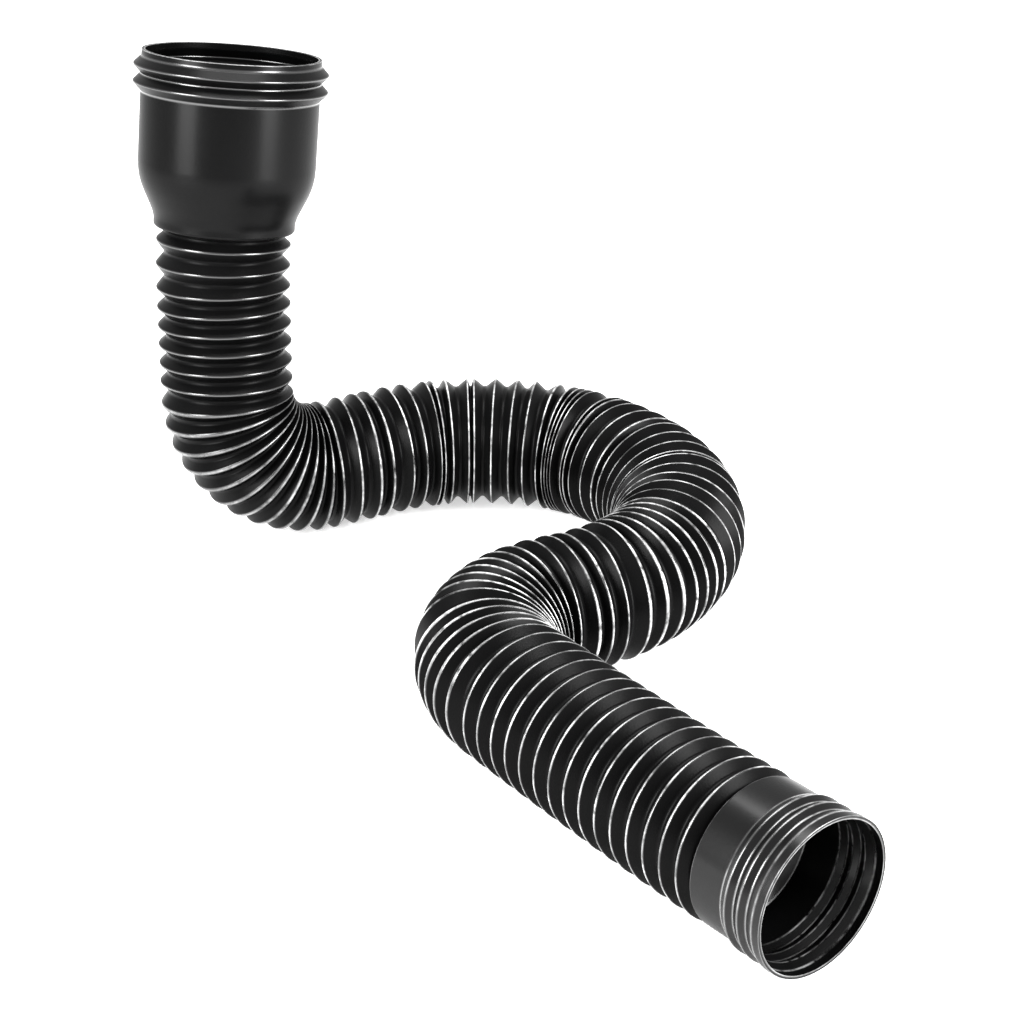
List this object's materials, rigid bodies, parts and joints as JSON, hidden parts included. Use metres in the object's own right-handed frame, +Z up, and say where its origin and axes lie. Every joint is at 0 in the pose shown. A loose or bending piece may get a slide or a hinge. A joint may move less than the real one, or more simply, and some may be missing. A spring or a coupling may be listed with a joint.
{
  "type": "flexible downspout extension",
  "caption": "Corrugated black plastic extension tube set in an S along the ground, with a wide upright inlet cup for a round downspout and a plain ribbed outlet cuff.",
  "frame": {"origin": "on the floor, under the middle of the object's box", "axes": "+Z up; the outlet points along -Y; the inlet cup stands at the +Y end"},
  "size_m": [0.3316, 0.6432, 0.3229],
  "materials": {
    "black_plastic": "satin blow-moulded polypropylene"
  },
  "bodies": {
    "root": {"downspout_extension": "black_plastic"}
  },
  "joints": []
}
